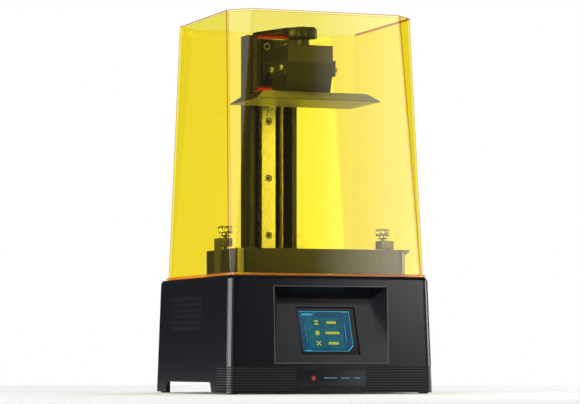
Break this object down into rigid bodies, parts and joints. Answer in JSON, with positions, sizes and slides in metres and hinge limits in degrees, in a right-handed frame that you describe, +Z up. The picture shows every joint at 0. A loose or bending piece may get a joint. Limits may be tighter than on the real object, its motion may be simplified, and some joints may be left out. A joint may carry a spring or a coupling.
{
  "type": "resin 3d printer",
  "caption": "Desktop resin 3D printer: charcoal base with a sloping touch screen, lift-off tinted cover, resin vat, and a build plate on a screw-driven carriage.",
  "frame": {"origin": "centre of the base's footprint, on the surface the feet stand on", "axes": "+Z up; +X to the printer's right as seen from the front; -Y towards the front, where the touch screen is"},
  "size_m": [0.222, 0.227, 0.3834],
  "materials": {
    "housing_plastic": "fine moulded texture",
    "black_plastic": "satin",
    "label": "gloss",
    "dark_metal": "satin powder coat",
    "anodised": "black anodised",
    "steel": "ground",
    "aluminium": "sanded",
    "brass": "turned",
    "red_plastic": "moulded",
    "rubber": "matt",
    "circuit_board": "solder mask",
    "screen_glass": "polished",
    "film": "clear",
    "cover_acrylic": "clear tinted",
    "cover_edge": "clear tinted, edge lit"
  },
  "bodies": {
    "base": {"base_housing": "housing_plastic", "base_plate": "dark_metal", "foot_front_left": "rubber", "foot_front_right": "rubber", "foot_rear_left": "rubber", "foot_rear_right": "rubber", "front_label_plate": "label", "touch_screen": "screen_glass", "display_board": "circuit_board", "deck_plate": "dark_metal", "printing_screen": "label", "light_reflector": "aluminium", "led_board": "circuit_board", "heat_sink": "aluminium", "fan_frame": "black_plastic", "mainboard": "circuit_board", "power_inlet": "black_plastic", "power_switch": "black_plastic", "usb_socket": "steel", "stepper_motor": "dark_metal", "screw_bearing": "brass", "column": "anodised", "column_cap": "anodised", "linear_rail": "steel", "limit_sensor": "black_plastic", "vat_clamp_left": "dark_metal", "vat_clamp_right": "dark_metal"},
    "cover": {"cover": "cover_acrylic", "cover_rim": "cover_edge"},
    "carriage": {"carriage_block": "steel", "lower_seal": "red_plastic", "upper_seal": "red_plastic", "carriage_arm": "anodised", "nut_bracket": "dark_metal", "lead_nut": "brass"},
    "screw": {"lead_screw": "steel", "shaft_coupler": "aluminium", "motor_shaft": "steel"},
    "platform": {"platform_head": "anodised", "platform_saddle": "black_plastic", "clamp_stud": "brass", "clamp_washer": "steel", "lock_plate_left": "black_plastic", "lock_plate_right": "black_plastic", "lock_screw_front_left": "steel", "lock_screw_rear_left": "steel", "lock_screw_front_right": "steel", "lock_screw_rear_right": "steel"},
    "clamp_knob": {"clamp_knob": "black_plastic"},
    "pivot": {"pivot_ball": "steel"},
    "build_plate": {"build_plate": "aluminium"},
    "vat": {"resin_vat": "anodised", "release_film": "film", "film_ring": "aluminium"},
    "thumbscrew_left": {"vat_thumbscrew_left": "steel"},
    "thumbscrew_right": {"vat_thumbscrew_right": "steel"},
    "rocker": {"power_rocker": "black_plastic"},
    "fan": {"fan_rotor": "black_plastic"}
  },
  "joints": [
    {"name": "cover_lift", "type": "slide", "parent": "base", "child": "cover", "axis": [0, 0, 1], "range_m": [0, 0.29]},
    {"name": "z_travel", "type": "slide", "parent": "base", "child": "carriage", "axis": [0, 0, 1], "range_m": [-0.1763, 0]},
    {"name": "screw_spin", "type": "hinge", "parent": "base", "child": "screw", "pos_m": [0.0125, 0.063, 0.2], "axis": [0, 0, 1], "continuous": true},
    {"name": "platform_slide", "type": "slide", "parent": "carriage", "child": "platform", "axis": [0, -1, 0], "range_m": [0, 0.016]},
    {"name": "clamp_knob_turn", "type": "hinge", "parent": "platform", "child": "clamp_knob", "pos_m": [0, -0.032, 0.366], "axis": [0, 0, 1], "range_deg": [0, 720]},
    {"name": "levelling_roll", "type": "hinge", "parent": "platform", "child": "pivot", "pos_m": [0, -0.03, 0.316], "axis": [0, 1, 0], "range_deg": [-1, 1]},
    {"name": "levelling_pitch", "type": "hinge", "parent": "pivot", "child": "build_plate", "pos_m": [0, -0.03, 0.316], "axis": [1, 0, 0], "range_deg": [-1, 1]},
    {"name": "vat_slide", "type": "slide", "parent": "base", "child": "vat", "axis": [0, -1, 0], "range_m": [0, 0.008]},
    {"name": "thumbscrew_left_turn", "type": "hinge", "parent": "base", "child": "thumbscrew_left", "pos_m": [-0.0862, -0.038, 0.165], "axis": [0, 0, 1], "range_deg": [0, 720]},
    {"name": "thumbscrew_right_turn", "type": "hinge", "parent": "base", "child": "thumbscrew_right", "pos_m": [0.0862, -0.038, 0.165], "axis": [0, 0, 1], "range_deg": [0, 720]},
    {"name": "power_rocker_tip", "type": "hinge", "parent": "base", "child": "rocker", "pos_m": [0.064, 0.105, 0.066], "axis": [1, 0, 0], "range_deg": [-16, 0]},
    {"name": "fan_spin", "type": "hinge", "parent": "base", "child": "fan", "pos_m": [-0.045, 0.1, 0.056], "axis": [0, 1, 0], "continuous": true}
  ],
  "couplings": [
    {"joint": "screw_spin", "follows": "z_travel", "rad_per_m": -1570.8}
  ]
}
